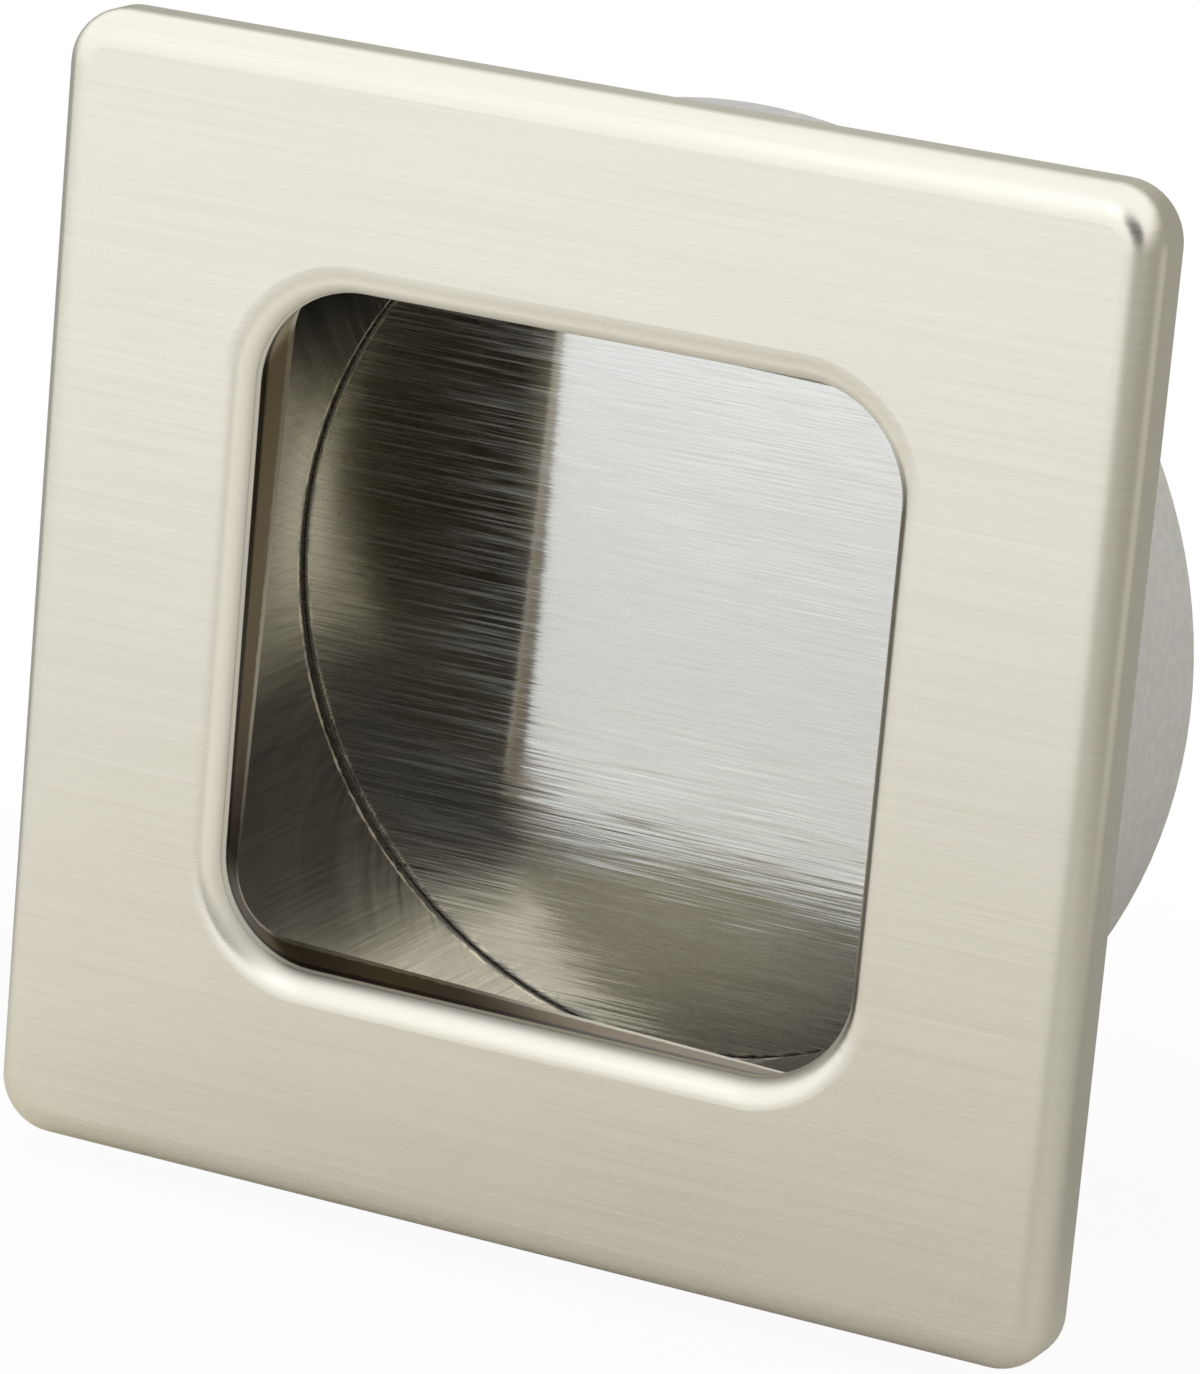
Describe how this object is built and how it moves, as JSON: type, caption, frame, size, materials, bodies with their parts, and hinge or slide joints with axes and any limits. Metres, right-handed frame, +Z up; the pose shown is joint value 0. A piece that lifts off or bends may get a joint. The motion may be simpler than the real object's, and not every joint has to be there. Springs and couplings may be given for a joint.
{
  "type": "flush pull",
  "caption": "Square flush pull: brushed face plate with a rolled square opening into a round finger cup, closed by a flat brushed disc.",
  "frame": {"origin": "centre of the plate's back face, on the collar's axis, in the plane of the door's surface", "axes": "+Y into the door along the collar, the face looks along -Y, +Z up"},
  "size_m": [0.055, 0.0182, 0.055],
  "materials": {
    "satin_nickel": "satin nickel plate, brushed sideways on the face",
    "brushed_disc": "brushed sideways, cool tone"
  },
  "bodies": {
    "root": {"pull_body": "satin_nickel", "back_disc": "brushed_disc"}
  },
  "joints": []
}
